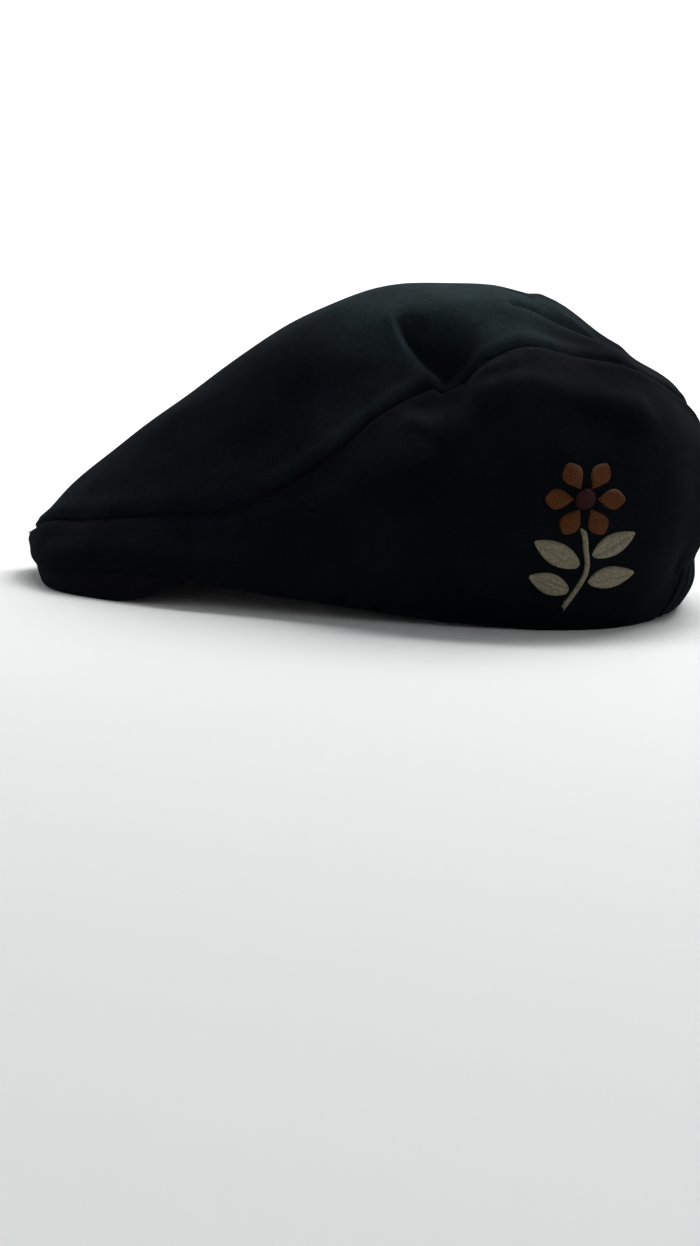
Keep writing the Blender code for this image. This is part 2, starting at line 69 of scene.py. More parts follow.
ROOM_STRENGTH = 0.175

azimuth, elevation, roll = (radians(a) for a in (VIEW_AZIMUTH, VIEW_ELEVATION, VIEW_ROLL))
back = np.array([np.sin(azimuth) * np.cos(elevation), -np.cos(azimuth) * np.cos(elevation),
                 np.sin(elevation)])
level = np.array([np.cos(azimuth), np.sin(azimuth), 0.0])
upright = np.cross(back, level)
right = level * np.cos(roll) + upright * np.sin(roll)
up = upright * np.cos(roll) - level * np.sin(roll)
stand = Matrix.Identity(4)
for axis, direction in enumerate((right, up, back, np.array(VIEW_TARGET) + VIEW_DISTANCE * back)):
    for row in range(3):
        stand[row][axis] = direction[row]
camera = bpy.data.objects.new("camera", bpy.data.cameras.new("camera"))
camera.data.sensor_width = SENSOR
camera.data.lens = VIEW_FOCAL * SENSOR
camera.data.clip_start = VIEW_NEAREST
camera.matrix_world = stand
bpy.context.scene.collection.objects.link(camera)
bpy.context.scene.camera = camera
bpy.context.scene.view_settings.view_transform = "Standard"

profile = [(0.0, 0.0), (FLOOR_RADIUS * 0.5, 0.0)]
for turn in np.linspace(0.0, pi / 2, SWEEP_STEPS):
    profile.append((FLOOR_RADIUS + SWEEP_RADIUS * np.sin(turn), SWEEP_RADIUS * (1 - np.cos(turn))))
profile.append((FLOOR_RADIUS + SWEEP_RADIUS, SWEEP_HEIGHT))
sweep_mesh = bmesh.new()
line = [sweep_mesh.verts.new((r, 0.0, z)) for r, z in profile]
edges = [sweep_mesh.edges.new(pair) for pair in zip(line, line[1:])]
bmesh.ops.spin(sweep_mesh, geom=line + edges, axis=(0, 0, 1), cent=(0, 0, 0), dvec=(0, 0, 0),
               angle=2 * pi, steps=SWEEP_SIDES, use_merge=True)
bmesh.ops.remove_doubles(sweep_mesh, verts=sweep_mesh.verts, dist=1e-6)
bmesh.ops.recalc_face_normals(sweep_mesh, faces=sweep_mesh.faces)
if sweep_mesh.faces[0].normal.z < 0.0:
    bmesh.ops.reverse_faces(sweep_mesh, faces=sweep_mesh.faces)
sweep = bpy.data.objects.new("sweep", bpy.data.meshes.new("sweep"))
sweep_mesh.to_mesh(sweep.data)
sweep_mesh.free()
sweep.data.shade_smooth()
bpy.context.scene.collection.objects.link(sweep)
board = bpy.data.materials.new("painted_board")
board.use_nodes = True
board.node_tree.nodes["Principled BSDF"].inputs["Base Color"].default_value = FLOOR_WHITE
board.node_tree.nodes["Principled BSDF"].inputs["Roughness"].default_value = FLOOR_ROUGHNESS
sweep.data.materials.append(board)


def soft_lamp(name, place, aim, power):
    """Square lamp at a place, turned towards a point."""
    lamp = bpy.data.objects.new(name, bpy.data.lights.new(name, "AREA"))
    lamp.data.size = LAMP_SIZE
    lamp.data.energy = power
    away = np.array(place) - np.array(aim)
    away = away / np.linalg.norm(away)
    side = np.cross((0.0, 1.0, 0.0), away)
    side = side / np.linalg.norm(side)
    turned = np.stack([side, np.cross(away, side), away, np.array(place)], axis=1)
    lamp.matrix_world = Matrix([*map(tuple, turned), (0.0, 0.0, 0.0, 1.0)])
    bpy.context.scene.collection.objects.link(lamp)


soft_lamp("top_lamp", TOP_LAMP_PLACE, TOP_LAMP_AIM, TOP_LAMP_POWER)
soft_lamp("sweep_lamp", SWEEP_LAMP_PLACE, SWEEP_LAMP_AIM, SWEEP_LAMP_POWER)
world = bpy.data.worlds.new("room")
world.use_nodes = True
world.node_tree.nodes["Background"].inputs["Color"].default_value = ROOM_COLOUR
world.node_tree.nodes["Background"].inputs["Strength"].default_value = ROOM_STRENGTH
bpy.context.scene.world = world


# Top panel: one long piece of soft napped cloth from the nose over the crest to the back.
# It is sewn to both side panels face to face and turned, so that a soft groove with puffed
# edges is left between them. Its left side is dented in front of the crest.
LENGTH = 0.278
CROWN_HEIGHT = 0.121
RIM_WIDTH = 0.171
SEAM_SPREAD = 0.140
FULLNESS = 0.40              # reach of a panel's curve, as a share of its chord
CLOTH = 0.0020
SEAM_GAP = 0.0004
SEAM_DIP = 0.0015
SEAM_DIP_REACH = 0.0016
SEAM_PUFF = 0.0006
SEAM_PUFF_PLACE = 0.0055
SEAM_PUFF_REACH = 0.0030
PUCKER = 0.00016
PUCKER_LENGTH = 0.006
PUCKER_REACH = 0.007
PUCKER_SEED = 5
DRAPE = 0.00045
DRAPE_LENGTH = 0.034
DRAPE_SEED = 3
DRAPE_WAVES = 14
DRAPE_SPREAD = (0.7, 1.6)    # shortest and longest wave, as shares of the length given
WALL_CREASE = 62             # degrees between faces from which an edge is sharp
TOP_ROWS = 230
TOP_COLUMNS = 129
TOP_END = 0.12               # sections left free at the nose and at the back
# The top panel's colour, and a much paler teal one towards which painted light draws it where the
# crest lies highest and on its lit patches.
TOP_COLOUR = (0.0029, 0.0039, 0.0058)
TOP_PAINTED_LIT = (0.0160, 0.0262, 0.0272)
TOP_SHEEN = 0.012

# Where the crown is painted paler, as though lit from above: between two places along the cap, and
# between two heights.
PAINTED_LIGHT_START = -0.044
PAINTED_LIGHT_END = 0.050
PAINTED_LIGHT_RUN = 0.060
TOP_PAINTED_LIGHT_HEIGHTS = (0.076, 0.120)

# Turnings of cloth pressed flat inside the two seams, and a patch inside each place where
# the three panels meet, both between two depths below the face.
ALLOWANCE = 0.0050
ALLOWANCE_MOST = 0.5
ALLOWANCE_TOP = 0.0023
ALLOWANCE_UNDER = 0.0030
ALLOWANCE_COLUMNS = 9
END_PATCH_TOP = 0.0031
END_PATCH_UNDER = 0.0037
END_PATCH_FAR = 0.45         # its reach along the cap, in sections from the nose or the back
END_PATCH_NEAR = 0.004
END_PATCH_ROWS = 8
END_PATCH_ACROSS = (0.94, 3.06, 17)      # first place, last place and count

# The cloth's gloss, nap and grains. A grain is its noise's scale, detail and roughness.
CLOTH_ROUGHNESS = 0.95
CLOTH_GLOSS = 0.02
NAP_ROUGHNESS = 0.42
NAP_TINT = (0.45, 0.80, 0.90, 1.0)
CLOUD_GRAIN = (38.0, 3.0, 0.55)
SPECK_GRAIN = (900.0, 4.0, 0.7)
FIBRE_GRAIN = (1500.0, 5.0, 0.75)
RUMPLE_GRAIN = (170.0, 2.0, 0.5)
CLOUD_RANGE = {"From Min": 0.72, "From Max": 1.28, "To Min": 0.55, "To Max": 1.50}
FIBRE_STRENGTH = 0.55
FIBRE_HEIGHT = 0.0004
RUMPLE_STRENGTH = 0.30
RUMPLE_HEIGHT = 0.0012

# The crown's sections from the nose to the middle of the back. The y values are shares of
# LENGTH from the nose, the z values of CROWN_HEIGHT, edge_x of half of RIM_WIDTH and seam_x
# of half of SEAM_SPREAD. Leans are in degrees from upright, the edge's outwards and the
# others inwards.
Section = namedtuple("Section", "crest_y crest_z seam_x seam_y seam_z edge_x edge_y edge_z "
                                "edge_lean seam_lean top_lean")
SECTIONS = [
    Section(0.011, 0.150, 0.000, 0.011, 0.150, 0.000, 0.023, 0.052, 42, 32, 34),
    Section(0.072, 0.300, 0.370, 0.068, 0.205, 0.360, 0.054, 0.052, 38, 32, 38),
    Section(0.159, 0.468, 0.630, 0.151, 0.234, 0.585, 0.108, 0.066, 30, 26, 34),
    Section(0.259, 0.640, 0.830, 0.251, 0.266, 0.750, 0.213, 0.088, 22, 18, 26),
    Section(0.364, 0.817, 0.950, 0.362, 0.302, 0.868, 0.313, 0.084, 16, 12, 18),
    Section(0.461, 0.935, 1.000, 0.471, 0.446, 0.934, 0.435, 0.061, 18, 18, 24),
    Section(0.543, 0.986, 1.000, 0.562, 0.612, 0.982, 0.543, 0.041, 24, 32, 38),
    Section(0.618, 1.000, 0.980, 0.644, 0.725, 1.000, 0.634, 0.023, 32, 46, 50),
    Section(0.694, 0.989, 0.886, 0.720, 0.802, 0.988, 0.716, 0.012, 36, 58, 60),
    Section(0.760, 0.938, 0.757, 0.783, 0.785, 0.936, 0.787, 0.000, 38, 60, 62),
    Section(0.824, 0.838, 0.640, 0.849, 0.762, 0.830, 0.849, 0.000, 36, 58, 60),
    Section(0.883, 0.764, 0.490, 0.896, 0.715, 0.667, 0.894, 0.005, 31, 52, 55),
    Section(0.937, 0.684, 0.290, 0.945, 0.645, 0.420, 0.939, 0.016, 25, 40, 44),
    Section(0.960, 0.579, 0.000, 0.960, 0.579, 0.000, 0.961, 0.020, 20, 32, 36),
]
LAST = len(SECTIONS) - 1

# Folds, from one place to another: along counts sections, across is 0 at the left edge, 1 at
# the left seam, 2 at the crest, 3 at the right seam and 4 at the right edge. Half widths and
# height are shares of CROWN_HEIGHT. A bow bends the fold's middle along the cap. Where back0
# and back1 are given, they are the half widths on the side towards the back. full0 and full1
# are the shares of the height left at the two ends. The wide folds come first and the
# creases after them.
Fold = namedtuple("Fold", "along0 across0 along1 across1 width0 width1 height "
                          "bow back0 back1 full0 full1", defaults=(0.0, 0.0, 0.0, 1.0, 1.0))
FOLDS = [
    Fold(6.00, 1.56, 6.63, 1.12, 0.016, 0.026, -0.078, -0.12, 0.030, 0.105, 0.0),
    Fold(6.72, 1.02, 6.85, 0.62, 0.060, 0.055, -0.012),
    Fold(5.86, 1.66, 6.38, 1.10, 0.024, 0.020, 0.024, -0.10, 0.0, 0.0, 0.0, 0.0),
    Fold(7.10, 1.45, 7.35, 1.02, 0.050, 0.044, 0.006),
    Fold(6.00, 0.86, 6.60, 0.78, 0.070, 0.060, 0.028),
    Fold(7.60, 0.82, 9.80, 0.76, 0.055, 0.065, 0.022),
    Fold(8.20, 1.84, 9.90, 1.66, 0.035, 0.042, -0.026),
    Fold(8.70, 2.05, 10.4, 1.90, 0.036, 0.046, 0.018),
    Fold(8.20, 1.30, 10.2, 1.22, 0.050, 0.045, 0.014),
    Fold(3.60, 0.60, 5.20, 0.50, 0.060, 0.070, -0.008),
    Fold(2.20, 1.50, 4.60, 1.36, 0.080, 0.110, -0.010),
    Fold(11.5, 0.22, 13.0, 0.27, 0.060, 0.070, -0.018),
    Fold(6.80, 2.55, 7.20, 2.98, 0.060, 0.080, -0.024),
    Fold(7.20, 2.98, 7.30, 3.40, 0.080, 0.060, -0.012),
    Fold(7.80, 3.24, 9.90, 3.28, 0.070, 0.070, 0.018),
    Fold(4.60, 3.30, 6.40, 3.20, 0.080, 0.080, 0.014),
    Fold(13.0, 3.73, 11.5, 3.78, 0.070, 0.060, -0.018),
    Fold(8.10, 1.46, 9.60, 1.40, 0.020, 0.026, -0.016),
    Fold(8.60, 1.62, 9.90, 1.52, 0.022, 0.026, 0.010),
    Fold(7.40, 0.94, 7.90, 0.92, 0.016, 0.020, 0.006),
    Fold(7.10, 0.98, 7.00, 0.74, 0.016, 0.026, -0.012),
    Fold(6.30, 0.90, 6.70, 0.76, 0.024, 0.026, 0.008),
    Fold(4.20, 0.94, 5.20, 0.84, 0.026, 0.030, -0.007),
    Fold(7.60, 0.60, 8.60, 0.42, 0.050, 0.060, -0.006),
]
FOLD_STEPS = 25
FOLD_REACH = 3.0             # how far a fold is felt, in half widths
FOLD_FADE = 0.20             # share of a side panel's height over which folds start at the hem

# Painted light and shade on the top panel, in the same terms: the amount takes the height's place.
# Amounts above nought are painted highlights beside the seam and on the ridges, those below it
# painted shade in the dent and in a furrow behind it.
TOP_PAINTED_LIGHT = [
    Fold(1.40, 1.15, 5.70, 1.12, 0.070, 0.080, 0.14),
    Fold(4.40, 1.05, 6.20, 1.05, 0.024, 0.028, 0.26),
    Fold(6.30, 1.40, 6.92, 1.14, 0.045, 0.060, -0.40),
    Fold(5.86, 1.66, 6.44, 1.04, 0.014, 0.014, 0.22, -0.10, 0.0, 0.0, 0.0, 0.2),
    Fold(8.60, 1.62, 9.60, 1.80, 0.030, 0.030, 0.30),
    Fold(7.90, 1.34, 10.2, 1.10, 0.050, 0.050, -0.16),
]


def unit(vectors):
    return vectors / np.maximum(np.linalg.norm(vectors, axis=-1, keepdims=True), 1e-12)


def smooth_step(value):
    value = np.clip(value, 0.0, 1.0)
    return value * value * (3.0 - 2.0 * value)


def through(rows, at, first, last):
    """Smooth curve through the rows, with the given rows before and after them."""
    padded = np.vstack([first, rows, last])
    at = np.clip(np.asarray(at, float), 0.0, len(rows) - 1.0)
    row = np.minimum(at.astype(int), len(rows) - 2)
    u = (at - row)[..., None]
    p0, p1, p2, p3 = (padded[row + k] for k in range(4))
    return 0.5 * (2 * p1 + (p2 - p0) * u + (2 * p0 - 5 * p1 + 4 * p2 - p3) * u ** 2
                  + (3 * p1 - p0 - 3 * p2 + p3) * u ** 3)


def mirrored(row, fields, across_fields):
    """Row of a table as it goes on beyond the cap's middle line."""
    return [-value if field in across_fields else value for field, value in zip(fields, row)]


def section_values(along):
    rows = np.array(SECTIONS, float)
    first = mirrored(SECTIONS[1], Section._fields, ("seam_x", "edge_x"))
    last = mirrored(SECTIONS[-2], Section._fields, ("seam_x", "edge_x"))
    return Section(*np.moveaxis(through(rows, along, first, last), -1, 0))


def edge_point(along):
    """The crown's lower edge on the left."""
    s = section_values(along)
    return np.stack([s.edge_x * RIM_WIDTH / 2, (s.edge_y - 0.5) * LENGTH,
                     s.edge_z * CROWN_HEIGHT], -1)


def outward(along):
    """Level direction out of the crown's lower edge on the left."""
    step = 1e-3
    along = np.asarray(along, float)
    run = edge_point(np.minimum(along + step, LAST)) - edge_point(np.maximum(along - step, 0.0))
    level = np.stack([run[..., 1], -run[..., 0], np.zeros(along.shape)], -1)
    level[..., 0] *= (along > 0.0) & (along < LAST)
    return unit(level)


def bend(p0, p1, p2, p3, u):
    """Curve from the first point to the last, drawn towards the two between them."""
    u = u[..., None]
    return ((1 - u) ** 3 * p0 + 3 * u * (1 - u) ** 2 * p1
            + 3 * u ** 2 * (1 - u) * p2 + u ** 3 * p3)


def tilted(direction, degrees):
    """Upright direction, tilted by an angle towards a level one."""
    angle = np.radians(degrees)[..., None]
    return direction * np.sin(angle) + np.array([0.0, 0.0, 1.0]) * np.cos(angle)


def crown_base(along, across):
    """The crown without folds."""
    along, across = np.broadcast_arrays(np.asarray(along, float), np.asarray(across, float))
    half = np.where(across > 2.0, 4.0 - across, across)
    s = section_values(along)
    out = outward(along)
    edge = edge_point(along)
    seam = np.stack([s.seam_x * SEAM_SPREAD / 2, (s.seam_y - 0.5) * LENGTH,
                     s.seam_z * CROWN_HEIGHT], -1)
    crest = np.stack([np.zeros(along.shape), (s.crest_y - 0.5) * LENGTH,
                      s.crest_z * CROWN_HEIGHT], -1)
    side_reach = FULLNESS * np.linalg.norm(seam - edge, axis=-1, keepdims=True)
    side = bend(edge, edge + side_reach * tilted(out, s.edge_lean),
                seam - side_reach * tilted(-out, s.seam_lean), seam, np.clip(half, 0.0, 1.0))
    top_reach = FULLNESS * np.linalg.norm(crest - seam, axis=-1, keepdims=True)
    top = bend(seam, seam + top_reach * tilted(-out, s.top_lean),
               crest + top_reach * np.array([1.0, 0.0, 0.0]), crest,
               np.clip(half - 1.0, 0.0, 1.0))
    point = np.where((half <= 1.0)[..., None], side, top)
    point[..., 0] *= np.where(across > 2.0, -1.0, 1.0)
    return point


def crown_normal(along, across):
    """Direction out of the crown without folds."""
    step = 2e-2
    along, across = np.broadcast_arrays(np.asarray(along, float), np.asarray(across, float))
    run = (crown_base(np.minimum(along + step, LAST), across)
           - crown_base(np.maximum(along - step, 0.0), across))
    rise = (crown_base(along, np.minimum(across + step, 4.0))
            - crown_base(along, np.maximum(across - step, 0.0)))
    return unit(np.cross(run, rise))


def drape(points, wavelength, seed):
    """Gentle unevenness over the cap, from about -1 to 1."""
    draw = np.random.default_rng(seed)
    lengths = wavelength * draw.uniform(*DRAPE_SPREAD, (DRAPE_WAVES, 1))
    waves = unit(draw.normal(size=(DRAPE_WAVES, 3))) * 2 * pi / lengths
    turns = draw.uniform(0.0, 2 * pi, DRAPE_WAVES)
    return np.sin(points @ waves.T + turns).sum(-1) / DRAPE_WAVES ** 0.5


def ridges(rows, points):
    """Sum of the ridges that the rows describe, at points of the crown without folds."""
    total = np.zeros(points.shape[:-1])
    steps = np.linspace(0.0, 1.0, FOLD_STEPS)
    for fold in rows:
        bowed = fold.bow * 4.0 * steps * (1.0 - steps)
        spine = crown_base(fold.along0 + (fold.along1 - fold.along0) * steps + bowed,
                           fold.across0 + (fold.across1 - fold.across0) * steps)
        front = CROWN_HEIGHT * (fold.width0 + (fold.width1 - fold.width0) * steps)
        back0, back1 = fold.back0 or fold.width0, fold.back1 or fold.width1
        rear = CROWN_HEIGHT * (back0 + (back1 - back0) * steps)
        reach = FOLD_REACH * max(front.max(), rear.max())
        low, high = spine.min(0) - reach, spine.max(0) + reach
        near = np.all((points > low) & (points < high), axis=-1)
        away = points[near][:, None, :] - spine
        gaps = np.linalg.norm(away, axis=-1)
        step = gaps.argmin(axis=-1)
        gap = gaps.min(axis=-1)
        behind = np.take_along_axis(away[..., 1], step[:, None], axis=1)[:, 0]
        turn = smooth_step(0.5 + behind / front[step])
        width = front[step] + (rear[step] - front[step]) * turn
        full = np.where(steps < 0.5, fold.full0 + (1.0 - fold.full0) * smooth_step(2.0 * steps),
                        fold.full1 + (1.0 - fold.full1) * smooth_step(2.0 - 2.0 * steps))
        total[near] += fold.height * full[step] * np.exp(-(gap / width) ** 2)
    return total


def fold_height(across, points):
    """Height of the folds over points of the crown without folds."""
    from_hem = np.minimum(across, 4.0 - across)
    height = CROWN_HEIGHT * ridges(FOLDS, points) + DRAPE * drape(points, DRAPE_LENGTH, DRAPE_SEED)
    return height * smooth_step(from_hem / FOLD_FADE)


def crown(along, across):
    """The crown's outer face with its folds, and the direction out of it."""
    along, across = np.broadcast_arrays(np.asarray(along, float), np.asarray(across, float))
    point = crown_base(along, across)
    normal = crown_normal(along, across)
    return point + normal * fold_height(across, point)[..., None], normal


def beside_seam(distance, points):
    """Height of the cloth beside a seam: it dips into the seam, puffs up and puckers."""
    dip = -SEAM_DIP * np.exp(-(distance / SEAM_DIP_REACH) ** 2)
    puff = SEAM_PUFF * np.exp(-((distance - SEAM_PUFF_PLACE) / SEAM_PUFF_REACH) ** 2)
    waves = drape(points, PUCKER_LENGTH, PUCKER_SEED)
    return dip + puff + PUCKER * waves * np.exp(-(distance / PUCKER_REACH) ** 2)


def run_between(points):
    """Length along each row of points, from its first."""
    steps = np.linalg.norm(np.diff(points, axis=1), axis=2)
    return np.concatenate([np.zeros((len(points), 1)), np.cumsum(steps, axis=1)], axis=1)


def painted_light_by_height(points, heights):
    """Share of painted light over points of the crown, which is painted palest where it lies
    highest.
    """
    low, high = heights
    return (smooth_step((points[..., 2] - low) / (high - low))
            * smooth_step((points[..., 1] - PAINTED_LIGHT_START) / PAINTED_LIGHT_RUN)
            * (1.0 - smooth_step((points[..., 1] - PAINTED_LIGHT_END) / PAINTED_LIGHT_RUN)))


def tube_faces(corner):
    """Faces between one row of corners and the next, each row closed into a ring."""
    after = np.roll(corner, -1, axis=1)
    walls = np.stack([corner[:-1], corner[1:], after[1:], after[:-1]], -1).reshape(-1, 4)
    return [tuple(face) for face in walls.tolist()]


def made_piece(name, points, faces, finish, crease):
    """Smooth object in a finish, with its faces turned outwards."""
    mesh = bpy.data.meshes.new(name)
    mesh.from_pydata(points, [], faces)
    shape = bmesh.new()
    shape.from_mesh(mesh)
    bmesh.ops.recalc_face_normals(shape, faces=shape.faces)
    shape.to_mesh(mesh)
    shape.free()
    mesh.materials.append(finish)
    mesh.shade_smooth()
    mesh.set_sharp_from_angle(angle=radians(crease))
    piece = bpy.data.objects.new(name, mesh)
    bpy.context.scene.collection.objects.link(piece)
    return piece


def pressed_flat(face, facing, top, under):
    """Inner strip of cloth between two depths below a face."""
    return np.concatenate([face - top * facing, (face - under * facing)[:, ::-1]], axis=1)


def sewn_wall(name, outer, inner, turned, finish, painted_light_and_paling, strips=()):
    """Closed wall of cloth between two grids of points. Its first column's edge goes round
    through the turned columns, and its last column's edge is square. Strips are seam
    allowances, pressed flat inside."""
    rows, columns = outer.shape[:2]
    ring = np.concatenate([outer, inner[:, ::-1], turned[:, ::-1]], axis=1)
    size = ring.shape[1]
    corner = np.arange(rows * size).reshape(rows, size)
    faces = tube_faces(corner)
    for row, flip in ((0, 1), (rows - 1, -1)):
        for k in range(columns - 1):
            pair = [k, k + 1, 2 * columns - 2 - k, 2 * columns - 1 - k]
            faces.append(tuple(int(corner[row, v]) for v in pair[::flip]))
        if turned.shape[1]:
            tip = [0] + list(range(2 * columns - 1, size))
            faces.append(tuple(int(corner[row, v]) for v in tip[::flip]))
    points = ring.reshape(-1, 3).tolist()
    for strip in strips:
        corner = len(points) + np.arange(strip[..., 0].size).reshape(strip.shape[:2])
        faces += tube_faces(corner)
        faces += [tuple(corner[0].tolist()), tuple(corner[-1, ::-1].tolist())]
        points += strip.reshape(-1, 3).tolist()
    piece = made_piece(name, points, faces, finish, WALL_CREASE)
    # The outer face holds the share of painted light and shade, and of the hem's paling, by which
    # the colour is drawn paler.
    wear = np.zeros(ring.shape[:2])
    wear[:, :columns] = painted_light_and_paling
    wear = np.append(wear.ravel(), np.zeros(len(points) - wear.size))
    piece.data.attributes.new("painted_light_and_paling", "FLOAT", "POINT").data.foreach_set("value", wear)
    return piece


def napped_cloth(name, colour, painted_lit_and_pale, sheen):
    """Soft matt black cloth. Its nap lies this way and that, which clouds its shade, and its short
    fibres stand up in a fine grain. A share stored on the mesh draws its colour towards a second,
    paler one, for painted light and shade, and for a paler line along the hem."""
    cloth = bpy.data.materials.new(name)
    cloth.use_nodes = True
    nodes, links = cloth.node_tree.nodes, cloth.node_tree.links
    shader = nodes["Principled BSDF"]
    shader.inputs["Roughness"].default_value = CLOTH_ROUGHNESS
    shader.inputs["Specular IOR Level"].default_value = CLOTH_GLOSS
    shader.inputs["Sheen Weight"].default_value = sheen
    shader.inputs["Sheen Roughness"].default_value = NAP_ROUGHNESS
    shader.inputs["Sheen Tint"].default_value = NAP_TINT
    place = nodes.new("ShaderNodeTexCoord")

    def grain(scale, detail, roughness):
        noise = nodes.new("ShaderNodeTexNoise")
        noise.inputs["Scale"].default_value = scale
        noise.inputs["Detail"].default_value = detail
        noise.inputs["Roughness"].default_value = roughness
        links.new(place.outputs["Object"], noise.inputs["Vector"])
        return noise.outputs["Fac"]

    def relief(height, strength, distance):
        bump = nodes.new("ShaderNodeBump")
        bump.inputs["Strength"].default_value = strength
        bump.inputs["Distance"].default_value = distance
        links.new(height, bump.inputs["Height"])
        return bump

    clouds = nodes.new("ShaderNodeMath")
    clouds.operation = "ADD"
    links.new(grain(*CLOUD_GRAIN), clouds.inputs[0])
    links.new(grain(*SPECK_GRAIN), clouds.inputs[1])
    spread = nodes.new("ShaderNodeMapRange")
    for socket, value in CLOUD_RANGE.items():
        spread.inputs[socket].default_value = value
    links.new(clouds.outputs[0], spread.inputs["Value"])
    # Painted light and shade: the stored share draws the colour from the first towards the paler
    # one.
    painted_light_and_paling = nodes.new("ShaderNodeAttribute")
    painted_light_and_paling.attribute_name = "painted_light_and_paling"
    shade = nodes.new("ShaderNodeValToRGB")
    shade.color_ramp.elements[0].color = (*colour, 1.0)
    shade.color_ramp.elements[1].color = (*painted_lit_and_pale, 1.0)
    links.new(painted_light_and_paling.outputs["Fac"], shade.inputs["Fac"])
    clouded = nodes.new("ShaderNodeVectorMath")
    clouded.operation = "SCALE"
    links.new(shade.outputs["Color"], clouded.inputs[0])
    links.new(spread.outputs[0], clouded.inputs["Scale"])
    links.new(clouded.outputs["Vector"], shader.inputs["Base Color"])
    fibres = relief(grain(*FIBRE_GRAIN), FIBRE_STRENGTH, FIBRE_HEIGHT)
    rumple = relief(grain(*RUMPLE_GRAIN), RUMPLE_STRENGTH, RUMPLE_HEIGHT)
    links.new(fibres.outputs["Normal"], rumple.inputs["Normal"])
    links.new(rumple.outputs["Normal"], shader.inputs["Normal"])
    return cloth


# Painted light: the top panel's copy of the cloth is a little lighter than the side panels', as
# where light falls from above.
top_cloth = napped_cloth("top_cloth", TOP_COLOUR, TOP_PAINTED_LIT, TOP_SHEEN)
along = np.linspace(TOP_END, LAST - TOP_END, TOP_ROWS)
outer, normal = crown(along[:, None], np.linspace(1.0, 3.0, TOP_COLUMNS)[None, :])
# Painted light: the crest is drawn paler where it lies highest, as though lit from above, with
# painted highlights and painted shade in patches.
painted_light_and_paling = painted_light_by_height(outer, TOP_PAINTED_LIGHT_HEIGHTS) + ridges(TOP_PAINTED_LIGHT, outer)
inner = outer - normal * CLOTH
run = run_between(outer)
from_seam = np.minimum(run, run[:, -1:] - run)
outer = outer + normal * beside_seam(from_seam, outer)[..., None]
for grid in (outer, inner):
    for border, neighbour in ((0, 3), (-1, -4)):
        grid[:, border] += SEAM_GAP / 2 * unit(grid[:, neighbour] - grid[:, border])
        grid[border] += SEAM_GAP / 2 * unit(grid[neighbour] - grid[border])

shares = np.linspace(0.0, 1.0, ALLOWANCE_COLUMNS)
below = ALLOWANCE / run_between(crown_base(along[:, None], shares))[:, -1:]
above = ALLOWANCE / run_between(crown_base(along[:, None], 1.0 + shares))[:, -1:]
place = 1.0 + np.linspace(-np.minimum(below, ALLOWANCE_MOST), np.minimum(above, ALLOWANCE_MOST),
                          ALLOWANCE_COLUMNS)[..., 0].T
allowances = []
for across in (place, 4.0 - place):
    face, facing = crown(along[:, None], across)
    allowances.append(pressed_flat(face, facing, ALLOWANCE_TOP, ALLOWANCE_UNDER))
for far, near in ((END_PATCH_FAR, END_PATCH_NEAR), (LAST - END_PATCH_FAR, LAST - END_PATCH_NEAR)):
    rows = np.linspace(far, near, END_PATCH_ROWS)
    face, facing = crown(rows[:, None], np.linspace(*END_PATCH_ACROSS))
    allowances.append(pressed_flat(face, facing, END_PATCH_TOP, END_PATCH_UNDER))
top = sewn_wall("top_cloth_panel", outer, inner, outer[:, :0], top_cloth, painted_light_and_paling, allowances)
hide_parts("top_panel")
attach(top, "root")


# Side panels: one on each side, of the same cloth, from the nose to a seam in the middle of
# the back. The lower edge is turned under and blind-stitched, and towards the back it is
# notched for the elastic band.
SIDE_ROWS = 300
SIDE_COLUMNS = 84
SIDE_CROWDING = 0.9          # power that sets how the columns crowd from hem to seam
CLIMB_STEPS = 61             # points on the curve up a panel when its length is measured
HEM_FOLD = 0.0030
HEM_FULL = 0.00605           # height of the hem at its full thickness
HEM_THINNING = 0.00495       # height above that over which it thins to one layer
HEM_ROUND = 0.35             # how far the turned edge bulges, as a share of its thickness
HEM_STEPS = 7
BAND_SPAN = 0.094
BAND_HEIGHT = 0.0185
BAND_SLANT = 0.12            # half the run of the notch's slanting end, in sections
BAND_SEARCH = 4.0            # sections from the back within which the band ends
BAND_TRIES = 400
BACK_SEAM_OPEN = 0.0003
# The side panels' colour, and a paler one towards which painted light draws it higher up the side,
# on the bulges just under the seam and on the edge below it, where the light falls. The paler line
# along the hem is drawn towards it too.
SIDE_COLOUR = (0.0026, 0.0031, 0.0044)
SIDE_PAINTED_LIT_AND_PALE = (0.0075, 0.0092, 0.0125)
SIDE_SHEEN = 0.003
SIDE_PAINTED_LIGHT_HEIGHTS = (0.060, 0.120)
SIDE_PAINTED_LIGHT = [
    Fold(1.00, 0.80, 5.60, 0.86, 0.070, 0.070, 0.30),
    Fold(6.15, 0.86, 7.00, 0.82, 0.045, 0.050, 0.80),
    Fold(5.60, 0.86, 6.60, 0.72, 0.050, 0.050, 0.50),
    Fold(7.10, 0.94, 7.90, 0.94, 0.026, 0.034, 0.55),
    Fold(7.90, 0.95, 9.00, 0.93, 0.024, 0.020, 0.20),
]
# A narrow line along the hem, from a section near the back onwards, is drawn paler: its share, and
# how far up from the hem it reaches.
HEM_PALING = 0.8
HEM_PALING_START = 9.6         # section from which the hem is paler
HEM_PALING_REACH = 0.0022

# The strip behind the seam in the middle of the back: its heights as shares of the side
# panel's height, and its two sides in sections from the middle, each with a count.
BACK_STRIP_HEIGHTS = (0.26, 0.985, 30)
BACK_STRIP_SIDES = (0.30, 0.04, 6)


def climb(along, height):
    """Share of the side panel's curve below a length measured up it from the hem."""
    shares = np.linspace(0.0, 1.0, CLIMB_STEPS)
    line = crown_base(np.asarray(along)[:, None], shares[None, :])
    run = run_between(line)
    return np.array([np.interp(height, row, shares) for row in run])


